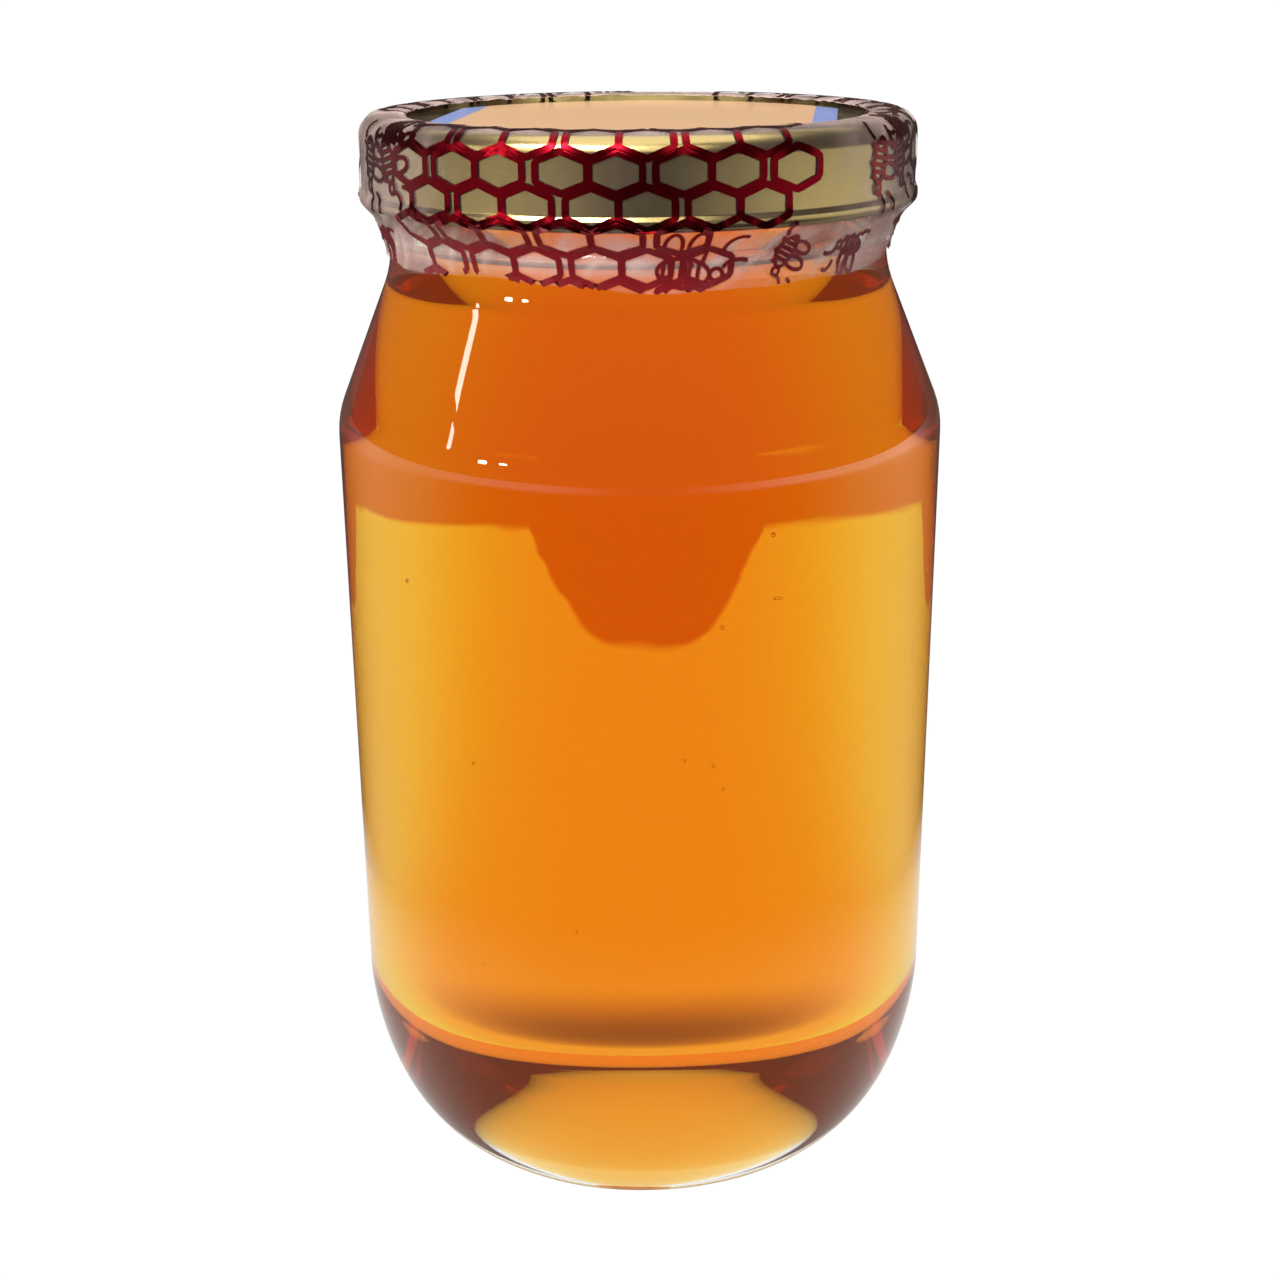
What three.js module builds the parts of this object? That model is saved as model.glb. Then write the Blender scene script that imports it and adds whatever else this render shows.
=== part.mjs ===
// A full honey jar, shut with a gold twist-off cap. A clear printed shrink band grips the cap's rim
// and the neck, and a paper label lies in the recess on top of the cap.
// Millimetres, +Z up. The origin is the centre of the foot, on the surface that the jar stands on.

import * as THREE from 'three';

// Facets round the jar, and the largest turn that one chord of a rounded corner takes
const SEGMENTS = 44;
const CHORD_ANGLE = THREE.MathUtils.degToRad(20);

// Gap kept between pieces that touch on the real jar
const GAP = 0.3;

// Glass, outside
const BODY_RADIUS = 48;
const FOOT_OUTER_RADIUS = 30.5;
const FOOT_INNER_RADIUS = 26.5;
const PUSH_UP_HEIGHT = 6;
const PUSH_UP_EDGE_HEIGHT = 5.7;
const PUSH_UP_RADIUS = 25;
const HEEL_HEIGHT = 29.3;
const HEEL_FLAT_RADIUS = 25.7;
const SHOULDER_BASE_HEIGHT = 125.7;
const SHOULDER_ROUNDING = 14;
const NECK_RADIUS = 38.2;
const NECK_BASE_HEIGHT = 149.6;
const NECK_ROUNDING = 17;
const BEAD_RADIUS = 38.9;
const BEAD_HEIGHT = 154;
const BEAD_HALF_HEIGHT = 1.2;
const BEAD_ROUNDING = 0.9;
const RIM_HEIGHT = 169;
const RIM_ROUNDING = 1.2;

// Glass, inside
const WALL = 2.6;
const NECK_WALL = 3;
const FLOOR_HEIGHT = 8.6;
const FLOOR_RISE = 0.8;
const INNER_FLAT_RADIUS = 24;
const INNER_SHOULDER_DROP = 0.5;
const INNER_NECK_RISE = 0.4;

// The heel's section is a superellipse: these are 2 over its two exponents
const HEEL_RADIAL_POWER = 0.68;
const HEEL_VERTICAL_POWER = 1.235;
const HEEL_STEPS = 9;

// Honey
const HONEY_LEVEL = 158;

// Cap
const CAP_RADIUS = 42;
const CAP_SHEET = 0.6;
const CAP_CREST_HEIGHT = 171.1;
const CAP_SHOULDER_ROUNDING = 2.9;
const PANEL_HEIGHT = 170.1;
const PANEL_RADIUS = 35.4;
const RECESS_SLOPE = 1.2;
const RECESS_ROUNDING = 0.6;
const CURL_RADIUS = 1.05;
const CURL_HEIGHT = 159.4;
const CURL_END_ANGLE = -200;
const CURL_STEPS = 8;

// Shrink band, outside
const BAND_THICKNESS = 0.3;
const BAND_INNER_EDGE_RADIUS = 35.7;
const BAND_CREST_RADIUS = 37.4;
const BAND_DROOP = 0.15;
const BAND_SKIRT_RADIUS = 42.65;
const BAND_SHOULDER_ROUNDING = 3.5;
const BAND_SKIRT_BOTTOM = 158.75;
const BAND_SKIRT_ROUNDING = 1.3;
const BAND_HOLLOW_RADIUS = 40.2;
const BAND_HOLLOW_HEIGHT = 156.3;
const BAND_HOLLOW_ROUNDING = 3;
const BAND_NECK_RADIUS = 38.95;
const BAND_NECK_HEIGHT = 152.2;
const BAND_NECK_ROUNDING = 4;
const BAND_EDGE_RADIUS = 39.2;
const BAND_EDGE_HEIGHT = 149.3;

// Label in the recess: a strip with straight sides and ends that follow the recess
const LABEL_WIDTH = 61;
const LABEL_RADIUS = 34.8;
const LABEL_THICKNESS = 0.3;
const LABEL_TURN = THREE.MathUtils.degToRad(-6);

// Points of a profile from its corners, each { at, rounding }. A corner with a rounding becomes an
// arc that is tangent to both of its sides.
function roundedProfile(corners) {
  const points = [];
  corners.forEach(({ at, rounding = 0 }, index) => {
    if (rounding === 0) {
      points.push(at);
      return;
    }
    points.push(...roundedCorner(corners[index - 1].at, at, corners[index + 1].at, rounding));
  });
  return points;
}

function roundedCorner(before, tip, after, rounding) {
  const back = before.clone().sub(tip).normalize();
  const onward = after.clone().sub(tip).normalize();
  const halfAngle = Math.acos(THREE.MathUtils.clamp(back.dot(onward), -1, 1)) / 2;
  const middle = back.clone().add(onward).normalize();
  const centre = tip.clone().addScaledVector(middle, rounding / Math.sin(halfAngle));
  const reach = rounding / Math.tan(halfAngle);
  const start = tip.clone().addScaledVector(back, reach).sub(centre);
  const end = tip.clone().addScaledVector(onward, reach).sub(centre);
  const turn = Math.atan2(start.cross(end), start.dot(end));
  const steps = Math.max(1, Math.ceil(Math.abs(turn) / CHORD_ANGLE));
  const origin = new THREE.Vector2();
  return Array.from({ length: steps + 1 }, (_, step) =>
    start.clone().rotateAround(origin, turn * step / steps).add(centre));
}

function point(radius, height) {
  return new THREE.Vector2(radius, height);
}

function corner(radius, height, rounding = 0) {
  return { at: point(radius, height), rounding };
}

// Closed loop round a sheet: the path, then the same path set back by the thickness. The sheet lies
// on the right of the path as it runs.
function sheetLoop(path, thickness) {
  const inner = path.map((at, index) => {
    const before = path[Math.max(index - 1, 0)];
    const after = path[Math.min(index + 1, path.length - 1)];
    const along = after.clone().sub(before).normalize();
    return at.clone().add(point(along.y, -along.x).multiplyScalar(thickness));
  });
  return [...path, ...inner.reverse()];
}

// The heel from the wall down to the floor: steps of a superellipse, without its last, flat part
function heelPoints(wallRadius, flatRadius, top, floor) {
  return Array.from({ length: HEEL_STEPS }, (_, step) => {
    const angle = (step / HEEL_STEPS) * (Math.PI / 2);
    const reach = Math.cos(angle) ** HEEL_RADIAL_POWER;
    const drop = Math.sin(angle) ** HEEL_VERTICAL_POWER;
    return point(flatRadius + (wallRadius - flatRadius) * reach, top - (top - floor) * drop);
  });
}

function lathe(profile) {
  const geometry = new THREE.LatheGeometry(profile, SEGMENTS);
  geometry.rotateX(Math.PI / 2);
  return geometry;
}

// The inside of the glass from the mouth down to the middle of the floor, drawn in by an inset
function insideProfile(topCorners, inset) {
  const wallRadius = BODY_RADIUS - WALL - inset;
  const neckRadius = NECK_RADIUS - NECK_WALL - inset;
  const floor = FLOOR_HEIGHT + inset;
  const heel = heelPoints(wallRadius, INNER_FLAT_RADIUS, HEEL_HEIGHT, floor);
  return roundedProfile([
    ...topCorners,
    corner(neckRadius, NECK_BASE_HEIGHT + INNER_NECK_RISE, NECK_ROUNDING),
    corner(wallRadius, SHOULDER_BASE_HEIGHT - INNER_SHOULDER_DROP, SHOULDER_ROUNDING),
    ...heel.map((at) => ({ at })),
    corner(INNER_FLAT_RADIUS, floor),
    corner(0, floor + FLOOR_RISE),
  ]);
}

function glassGeometry() {
  const mouthRadius = NECK_RADIUS - NECK_WALL;
  const heel = heelPoints(BODY_RADIUS, HEEL_FLAT_RADIUS, HEEL_HEIGHT, 0).reverse();
  const outside = roundedProfile([
    corner(0, PUSH_UP_HEIGHT),
    corner(PUSH_UP_RADIUS, PUSH_UP_EDGE_HEIGHT),
    corner(FOOT_INNER_RADIUS, 0),
    corner(FOOT_OUTER_RADIUS, 0),
    ...heel.filter((at) => at.x > FOOT_OUTER_RADIUS + 1).map((at) => ({ at })),
    corner(BODY_RADIUS, SHOULDER_BASE_HEIGHT, SHOULDER_ROUNDING),
    corner(NECK_RADIUS, NECK_BASE_HEIGHT, NECK_ROUNDING),
    corner(NECK_RADIUS, BEAD_HEIGHT - BEAD_HALF_HEIGHT),
    corner(BEAD_RADIUS, BEAD_HEIGHT, BEAD_ROUNDING),
    corner(NECK_RADIUS, BEAD_HEIGHT + BEAD_HALF_HEIGHT),
    corner(NECK_RADIUS, RIM_HEIGHT, RIM_ROUNDING),
    corner(mouthRadius, RIM_HEIGHT, RIM_ROUNDING),
    corner(mouthRadius, RIM_HEIGHT - 2 * RIM_ROUNDING),
  ]);
  const inside = insideProfile([corner(mouthRadius, RIM_HEIGHT - 3 * RIM_ROUNDING)], 0);
  return lathe([...outside, ...inside]);
}

function honeyGeometry() {
  const neckRadius = NECK_RADIUS - NECK_WALL - GAP;
  const surface = [corner(0, HONEY_LEVEL), corner(neckRadius, HONEY_LEVEL)];
  return lathe(insideProfile(surface, GAP).reverse());
}

// The rolled lower edge of the cap: the sheet turns inwards and up again
function curlPoints() {
  const centre = point(CAP_RADIUS - CURL_RADIUS, CURL_HEIGHT);
  return Array.from({ length: CURL_STEPS + 1 }, (_, step) => {
    const angle = THREE.MathUtils.degToRad(CURL_END_ANGLE * step / CURL_STEPS);
    return point(Math.cos(angle), Math.sin(angle)).multiplyScalar(CURL_RADIUS).add(centre);
  });
}

function capGeometry() {
  const path = roundedProfile([
    corner(0, PANEL_HEIGHT),
    corner(PANEL_RADIUS, PANEL_HEIGHT, RECESS_ROUNDING),
    corner(PANEL_RADIUS + RECESS_SLOPE, CAP_CREST_HEIGHT, RECESS_ROUNDING),
    corner(CAP_RADIUS, CAP_CREST_HEIGHT, CAP_SHOULDER_ROUNDING),
    ...curlPoints().map((at) => ({ at })),
  ]);
  return lathe(sheetLoop(path, CAP_SHEET).reverse());
}

function bandGeometry() {
  const crest = CAP_CREST_HEIGHT + GAP + BAND_THICKNESS;
  const path = roundedProfile([
    corner(BAND_INNER_EDGE_RADIUS, crest - BAND_DROOP),
    corner(BAND_CREST_RADIUS, crest),
    corner(BAND_SKIRT_RADIUS, crest, BAND_SHOULDER_ROUNDING),
    corner(BAND_SKIRT_RADIUS, BAND_SKIRT_BOTTOM, BAND_SKIRT_ROUNDING),
    corner(BAND_HOLLOW_RADIUS, BAND_HOLLOW_HEIGHT, BAND_HOLLOW_ROUNDING),
    corner(BAND_NECK_RADIUS, BAND_NECK_HEIGHT, BAND_NECK_ROUNDING),
    corner(BAND_EDGE_RADIUS, BAND_EDGE_HEIGHT),
  ]);
  const loop = sheetLoop(path, BAND_THICKNESS);
  return lathe([...loop, loop[0]].reverse());
}

function labelGeometry() {
  const sideAngle = Math.acos(LABEL_WIDTH / 2 / LABEL_RADIUS);
  const outline = new THREE.Shape();
  outline.absarc(0, 0, LABEL_RADIUS, sideAngle, Math.PI - sideAngle);
  outline.absarc(0, 0, LABEL_RADIUS, Math.PI + sideAngle, 2 * Math.PI - sideAngle);
  outline.closePath();
  return new THREE.ExtrudeGeometry(outline, {
    depth: LABEL_THICKNESS,
    bevelEnabled: false,
    curveSegments: 12,
  });
}

function material(color, roughness, metalness) {
  return new THREE.MeshStandardMaterial({ color, roughness, metalness });
}

function clearMaterial(color, roughness, opacity) {
  return new THREE.MeshStandardMaterial({ color, roughness, opacity, transparent: true });
}

function piece(name, geometry, surface) {
  const mesh = new THREE.Mesh(geometry, surface);
  mesh.name = name;
  return mesh;
}

const glass = piece('glass_jar', glassGeometry(), clearMaterial(0xe8efe9, 0.05, 0.3));
const honey = piece('honey', honeyGeometry(), clearMaterial(0xe08512, 0.1, 0.9));
const cap = piece('cap', capGeometry(), material(0xb9a666, 0.3, 1));
const band = piece('seal_band', bandGeometry(), clearMaterial(0xdcc4c0, 0.15, 0.5));
const label = piece('top_label', labelGeometry(), material(0xf6cfa6, 0.45, 0));
label.position.z = PANEL_HEIGHT + GAP;
label.rotation.z = LABEL_TURN;

const honeyJar = new THREE.Group();
honeyJar.add(glass, honey, cap, band, label);

export default honeyJar;
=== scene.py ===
import math

import bmesh
import bpy
from bpy.props import FloatProperty, FloatVectorProperty, IntProperty, PointerProperty
from mathutils import Euler, Matrix, Vector, noise


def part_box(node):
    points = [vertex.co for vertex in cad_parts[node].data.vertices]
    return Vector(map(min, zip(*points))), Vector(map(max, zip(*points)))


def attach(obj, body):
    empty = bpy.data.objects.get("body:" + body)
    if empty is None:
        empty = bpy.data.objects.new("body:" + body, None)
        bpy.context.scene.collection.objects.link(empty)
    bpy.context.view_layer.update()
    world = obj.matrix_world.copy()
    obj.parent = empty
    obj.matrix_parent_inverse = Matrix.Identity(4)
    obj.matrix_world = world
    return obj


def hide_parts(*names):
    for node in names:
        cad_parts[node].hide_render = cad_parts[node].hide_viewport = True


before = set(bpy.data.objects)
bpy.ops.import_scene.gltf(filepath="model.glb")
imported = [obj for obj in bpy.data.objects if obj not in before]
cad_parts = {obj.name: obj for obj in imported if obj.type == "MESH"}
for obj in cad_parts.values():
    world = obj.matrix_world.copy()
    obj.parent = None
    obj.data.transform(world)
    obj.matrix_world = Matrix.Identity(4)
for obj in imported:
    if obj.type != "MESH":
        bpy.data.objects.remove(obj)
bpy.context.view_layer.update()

bl_info = {
    "name": "Honey Jar",
    "version": (1, 0, 0),
    "blender": (4, 5, 0),
    "location": "3D View > Sidebar > Honey Jar",
    "description": "Builds a full honey jar with a gold twist-off cap and a printed shrink band",
    "category": "Object",
}

MM = 0.001
GLASS_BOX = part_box("glass_jar")
BAND_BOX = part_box("seal_band")

# Round pieces: facets round the axis, and the largest turn of one chord of a rounded corner
SEGMENTS = 192
CHORD_ANGLE = math.radians(7)
HEEL_STEPS = 26

# The heel's section is a superellipse: these are 2 over its two exponents
HEEL_RADIAL_POWER = 0.68
HEEL_VERTICAL_POWER = 1.235

# The print's cells, in rows that overlap by a sixth of a cell
CELLS_ROUND = 32
CELL_STEP = math.tau / CELLS_ROUND
ROW_STEP = 4.75 * MM
PRINT_REPEAT = math.radians(120)
FIRST_COLUMN = math.radians(-42.8)
RAGGED_EDGE = 6 * MM

# The last row of cells that lies on the cap, and the height of its middle
LAST_CAP_ROW = 3
LAST_CAP_ROW_HEIGHT = 161.7 * MM

# Kinds of node that the trees use most
MATH = "ShaderNodeMath"
VECTORS = "ShaderNodeVectorMath"
MIX = "ShaderNodeMix"
NOISE = "ShaderNodeTexNoise"
RANGE = "ShaderNodeMapRange"
RANDOM = "FunctionNodeRandomValue"
ATTRIBUTE = "GeometryNodeInputNamedAttribute"
EASED = {"interpolation_type": "SMOOTHSTEP"}


def linear(code):
    """Linear colour from an sRGB hex value."""
    parts = [int(code[i:i + 2], 16) / 255 for i in (1, 3, 5)]
    levels = [c / 12.92 if c <= 0.04045 else ((c + 0.055) / 1.055) ** 2.4 for c in parts]
    return tuple(levels)


def length(name, description, default):
    return FloatProperty(name=name, description=description, default=default, unit="LENGTH")


def paint(name, description, code):
    return FloatVectorProperty(name=name, description=description, subtype="COLOR",
                               default=linear(code), min=0, max=1)


class JarSizes(bpy.types.PropertyGroup):
    """Sizes of the jar, in metres."""

    body_radius: length("Body radius", "Outer radius of the glass body", GLASS_BOX[1][0])
    rim_height: length("Rim height", "Height of the glass rim under the cap", GLASS_BOX[1][2])
    wall: length("Wall", "Thickness of the glass body's wall", 2.6 * MM)
    neck_radius: length("Neck radius", "Outer radius of the glass neck", 38.5 * MM)
    honey_level: length("Honey level", "Height of the honey's surface above the foot",
                        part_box("honey")[1][2])
    cap_radius: length("Cap radius", "Outer radius of the cap's skirt", 42.4 * MM)
    cap_crest: length("Cap crest", "Height of the cap's crest ring", BAND_BOX[1][2] - 0.2 * MM)
    cell_width: length("Cell width", "Width of a printed cell between its line centres", 7.35 * MM)
    cell_height: length("Cell height", "Height of a printed cell between its line centres", 5.7 * MM)
    cell_line: length("Cell line", "Width of the printed line round a cell", 1.0 * MM)
    bubbles: IntProperty(
        name="Bubbles", description="Small air bubbles near the honey's outside", default=14, min=0)


class JarColours(bpy.types.PropertyGroup):
    """Colours of the jar, linear."""

    gold: paint("Gold lacquer", "Lacquered tinplate of the cap", "#9c8a58")
    ink: paint("Ink", "Printed red of the shrink band", "#6e0814")
    film: paint("Film", "Haze of the creased shrink film", "#dcc0b8")
    label: paint("Label", "Peach paper of the top label", "#e2b283")
    label_edge: paint("Label edge", "Pale blue bands at the label's sides", "#7d92cf")


def sizes():
    return bpy.context.scene.jar_sizes


def colours():
    return bpy.context.scene.jar_colours


def add_node(tree, kind, inputs=(), out=0, **settings):
    """Adds a node with its settings, and returns an output of it, or the node if out is None.

    Each input, by name or in order, gets a value or is joined to the socket that is given for it.
    """
    node = tree.nodes.new(kind)
    for name, value in settings.items():
        setattr(node, name, value)
    for name, value in inputs.items() if isinstance(inputs, dict) else enumerate(inputs):
        if isinstance(value, bpy.types.NodeSocket):
            tree.links.new(value, node.inputs[name])
        else:
            node.inputs[name].default_value = value
    return node if out is None else node.outputs[out]


def new_material(name, values=()):
    """A node material with nothing but its output and a Principled shader joined to it."""
    material = bpy.data.materials.new(name)
    material.use_nodes = True
    tree = material.node_tree
    tree.nodes.clear()
    shader = add_node(tree, "ShaderNodeBsdfPrincipled", values, None)
    output = add_node(tree, "ShaderNodeOutputMaterial", {"Surface": shader.outputs["BSDF"]}, None)
    return material, tree, shader, output


def mottle(tree, shader, size, dark, light, gloss=None, detail=2.0, socket="Base Color"):
    """Mottles a shader's colour, and its gloss, by one noise about as coarse as the size."""
    where = add_node(tree, "ShaderNodeTexCoord", out="Object")
    cloud = add_node(tree, NOISE, {"Vector": where, "Scale": 1 / size, "Detail": detail})
    tint = add_node(tree, MIX, {0: cloud, 6: (*dark, 1), 7: (*light, 1)}, 2, data_type="RGBA")
    tree.links.new(tint, shader.inputs[socket])
    if gloss:
        rough = add_node(tree, RANGE, (cloud, 0, 1, *gloss))
        tree.links.new(rough, shader.inputs["Roughness"])
    return where, cloud, tint


def roughen(tree, shader, height, strength):
    """Gives a shader a faint bump from a height between 0 and 1."""
    bump = add_node(tree, "ShaderNodeBump", {"Height": height, "Strength": strength,
                                             "Distance": BUMP_DEPTH})
    tree.links.new(bump, shader.inputs["Normal"])


def times(colour, factor):
    """A colour made darker or lighter by a factor."""
    return [part * factor for part in colour]


# Profiles of the round pieces


def rounded_profile(corners):
    """Points of a profile from its corners, each (radius, height) or (radius, height, rounding)."""
    points = []
    for index, corner in enumerate(corners):
        tip = Vector(corner[:2])
        if len(corner) == 2:
            points.append(tip)
            continue
        back = (Vector(corners[index - 1][:2]) - tip).normalized()
        onward = (Vector(corners[index + 1][:2]) - tip).normalized()
        half = math.acos(max(-1, min(1, back.dot(onward)))) / 2
        centre = tip + (back + onward).normalized() * (corner[2] / math.sin(half))
        start = tip + back * (corner[2] / math.tan(half)) - centre
        end = tip + onward * (corner[2] / math.tan(half)) - centre
        turn = math.atan2(start.x * end.y - start.y * end.x, start.dot(end))
        steps = max(1, math.ceil(abs(turn) / CHORD_ANGLE))
        points += [centre + Matrix.Rotation(turn * k / steps, 2) @ start for k in range(steps + 1)]
    return points


def heel_points(wall_radius, flat_radius, top, floor):
    """The heel from the wall down to the floor, without its last, flat part."""
    points = []
    for step in range(HEEL_STEPS):
        angle = step / HEEL_STEPS * math.pi / 2
        reach = math.cos(angle) ** HEEL_RADIAL_POWER
        drop = math.sin(angle) ** HEEL_VERTICAL_POWER
        points.append((flat_radius + (wall_radius - flat_radius) * reach,
                       top - (top - floor) * drop))
    return points


def sheet_loop(path, thickness):
    """Closed loop round a sheet that lies on the right of its path."""
    inner = []
    for index, at in enumerate(path):
        along = (path[min(index + 1, len(path) - 1)] - path[max(index - 1, 0)]).normalized()
        inner.append(at + Vector((along.y, -along.x)) * thickness)
    return path + inner[::-1]


HEEL_HEIGHT = 29.3 * MM
SHOULDER_BASE = 125.7 * MM
SHOULDER_ROUNDING = 14 * MM
NECK_ROUNDING = 17 * MM
SHOULDER_SLOPE = 0.411
PUSH_UP = 6 * MM
FLOOR_HEIGHT = 8.6 * MM
FLOOR_RISE = 0.8 * MM
NECK_WALL = 3 * MM
BEAD = 0.35 * MM
PANEL_DEPTH = 1.25 * MM
SKIRT_FOOT = 159.4 * MM


def inside_corners(outset):
    """Corners of the glass's inside from the neck down to the floor, let out by an outset."""
    wall = sizes().body_radius - sizes().wall + outset
    neck = sizes().neck_radius - NECK_WALL + outset
    shoulder = SHOULDER_BASE - 0.5 * MM
    floor = FLOOR_HEIGHT - outset
    return [
        (neck, shoulder + (wall - neck) / SHOULDER_SLOPE, NECK_ROUNDING),
        (wall, shoulder, SHOULDER_ROUNDING),
        *heel_points(wall, 24 * MM, HEEL_HEIGHT, floor),
        (24 * MM, floor),
        (12 * MM, floor + FLOOR_RISE * 0.8),
        (0, floor + FLOOR_RISE),
    ]


def glass_profile():
    """The foot with its push-up, the heel, body, shoulder and neck, and back down the inside."""
    body = sizes().body_radius
    neck = sizes().neck_radius
    rim = sizes().rim_height
    mouth = neck - NECK_WALL
    heel = heel_points(body, 25.7 * MM, HEEL_HEIGHT, 0)[::-1]
    outside = [
        (0, PUSH_UP),
        (14 * MM, PUSH_UP - 0.1 * MM),
        (25 * MM, PUSH_UP - 0.3 * MM, 1.8 * MM),
        (26.6 * MM, 0, 0.8 * MM),
        *[at for at in heel if at[0] > 31 * MM],
        (body, SHOULDER_BASE, SHOULDER_ROUNDING),
        (neck, SHOULDER_BASE + (body - neck) / SHOULDER_SLOPE, NECK_ROUNDING),
        (neck, 153 * MM, 0.4 * MM),
        (neck + 0.6 * MM, 154 * MM, 0.8 * MM),
        (neck, 155.2 * MM, 0.4 * MM),
        (neck, rim, 1.2 * MM),
        (mouth, rim, 1.2 * MM),
        (mouth, rim - 4 * MM),
    ]
    return rounded_profile(outside + inside_corners(0))


def honey_profile():
    """The honey reaches 0.4 mm into the glass, so that no air shows between them."""
    outset = 0.4 * MM
    level = sizes().honey_level
    neck = sizes().neck_radius - NECK_WALL + outset
    surface = [(0, level), (neck - 4 * MM, level), (neck, level + 0.8 * MM)]
    return rounded_profile(surface + inside_corners(outset))


def cap_profile():
    """One pressed sheet: panel, recess, crest, shoulder, skirt and rolled edge."""
    radius = sizes().cap_radius
    crest = sizes().cap_crest
    panel = crest - PANEL_DEPTH
    curl = 1.05 * MM
    path = rounded_profile([
        (0, panel),
        (35.2 * MM, panel, 0.6 * MM),
        (36.5 * MM, crest, 0.9 * MM),
        (38.6 * MM, crest - 0.02 * MM, 2 * MM),
        (radius, crest - 0.25 * MM, 3 * MM),
        (radius, 160.6 * MM, 0.5 * MM),
        (radius + BEAD, 160.0 * MM, 0.3 * MM),
        (radius + BEAD, SKIRT_FOOT),
    ])
    steps = 16
    for step in range(1, steps + 1):
        angle = math.radians(-200 * step / steps)
        path.append(Vector((radius + BEAD - curl + curl * math.cos(angle),
                            SKIRT_FOOT + curl * math.sin(angle))))
    return sheet_loop(path, 0.3 * MM)


# Round pieces, by one node tree that turns a profile about the axis


def revolve_tree():
    """Node tree: turns the edges that it is given about the axis and closes the poles."""
    tree, given = new_tree("Revolve profile", "Segments:Int Material:Material")
    guide = 10 * MM
    ring = add_node(tree, "GeometryNodeCurvePrimitiveCircle",
                    {"Resolution": given["Segments"], "Radius": guide}, mode="RADIUS")
    shifted = add_node(tree, "GeometryNodeTransform",
                       {"Geometry": given["Geometry"], "Translation": (-guide, 0, 0)})
    profile = add_node(tree, "GeometryNodeMeshToCurve", {"Mesh": shifted})
    skin = add_node(tree, "GeometryNodeCurveToMesh", {"Curve": ring, "Profile Curve": profile})
    closed = add_node(tree, "GeometryNodeMergeByDistance", {"Geometry": skin, "Distance": 1e-6})
    finish_tree(tree, closed, given["Material"])
    return tree


def new_tree(name, inputs):
    """Node tree with a geometry input and output, and more inputs given as Name:Kind."""
    tree = bpy.data.node_groups.new(name, "GeometryNodeTree")
    for entry in ["Geometry:Geometry", *inputs.split()]:
        label, kind = entry.replace("_", " ").split(":")
        tree.interface.new_socket(label, in_out="INPUT", socket_type="NodeSocket" + kind)
    tree.interface.new_socket("Geometry", in_out="OUTPUT", socket_type="NodeSocketGeometry")
    return tree, add_node(tree, "NodeGroupInput", out=None).outputs


def finish_tree(tree, geometry, material):
    """Ends a tree in Realize Instances and Set Material."""
    real = add_node(tree, "GeometryNodeRealizeInstances", {"Geometry": geometry})
    painted = add_node(tree, "GeometryNodeSetMaterial", {"Geometry": real, "Material": material})
    add_node(tree, "NodeGroupOutput", {"Geometry": painted}, None)


def add_object(name, data):
    """An object in the scene that holds the data."""
    thing = bpy.data.objects.new(name, data)
    bpy.context.collection.objects.link(thing)
    return thing


def run_tree(name, base, tree, values):
    """Runs a node tree on a mesh and returns the plain mesh object that comes out."""
    holder = add_object(name + " base", base)
    modifier = holder.modifiers.new("Nodes", "NODES")
    modifier.node_group = tree
    for item in tree.interface.items_tree:
        if item.in_out == "INPUT" and item.name in values:
            modifier[item.identifier] = values[item.name]
    evaluated = holder.evaluated_get(bpy.context.evaluated_depsgraph_get())
    mesh = bpy.data.meshes.new_from_object(evaluated)
    holder.modifiers.remove(modifier)
    bpy.data.objects.remove(holder)
    if not mesh.polygons:
        raise RuntimeError(f"the node tree for {name} gave no faces")
    mesh.name = name
    return add_object(name, mesh)


def edge_mesh(name, *lines):
    """Mesh of edges only, that joins the points of each line in order."""
    points = []
    edges = []
    for line in lines:
        first = len(points)
        points += line
        edges += [(first + i, first + i + 1) for i in range(len(line) - 1)]
    mesh = bpy.data.meshes.new(name)
    mesh.from_pydata(points, edges, [])
    return mesh


def revolve(name, profile, material):
    """A closed round piece from its profile. The tree wants the profile's height along -Y."""
    points = [(at[0], -at[1], 0) for at in profile]
    values = {"Segments": SEGMENTS, "Material": material}
    tree = bpy.data.node_groups.get("Revolve profile") or revolve_tree()
    piece = run_tree(name, edge_mesh(name, points), tree, values)
    face_outwards(piece)
    return piece


def face_outwards(piece):
    """Turns a closed mesh right side out and shades it smooth, with its sharp edges kept."""
    mesh = piece.data
    shell = bmesh.new()
    shell.from_mesh(mesh)
    if shell.calc_volume(signed=True) < 0:
        bmesh.ops.reverse_faces(shell, faces=shell.faces)
    shell.to_mesh(mesh)
    shell.free()
    mesh.shade_smooth()
    mesh.set_sharp_from_angle(angle=math.radians(40))


RIPPLE_DEPTH = 0.09 * MM
RIPPLE_LENGTH = 16 * MM


def ripple(piece):
    """Moves a round piece's wall in and out by a slow noise, as blown glass is never quite true."""
    for vertex in piece.data.vertices:
        radius = vertex.co.xy.length
        if radius < 20 * MM:
            continue
        swell = RIPPLE_DEPTH * noise.noise(vertex.co * Vector((1, 1, 0.6)) / RIPPLE_LENGTH)
        vertex.co.xy *= 1 + swell / radius


# Materials

BUMP_DEPTH = 0.05 * MM


def glass_material():
    """Soda-lime glass, blown in a mould: clear, faintly green, smooth."""
    material, tree, shader, _ = new_material("Soda-lime glass, mould-blown", {
        "Transmission Weight": 1.0, "IOR": 1.52, "Roughness": 0.0})
    # Very weak uneven tint, as the melt is never quite clear
    mottle(tree, shader, 40 * MM, linear("#fbfefc"), linear("#ffffff"))
    return material


def wet_glass_material():
    """The same glass where honey wets it: the two indexes match, so nothing bends or mirrors."""
    material = glass_material()
    material.name = "Soda-lime glass, wetted by honey"
    shader = material.node_tree.nodes["Principled BSDF"]
    shader.inputs["IOR"].default_value = 1.0
    return material


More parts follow.
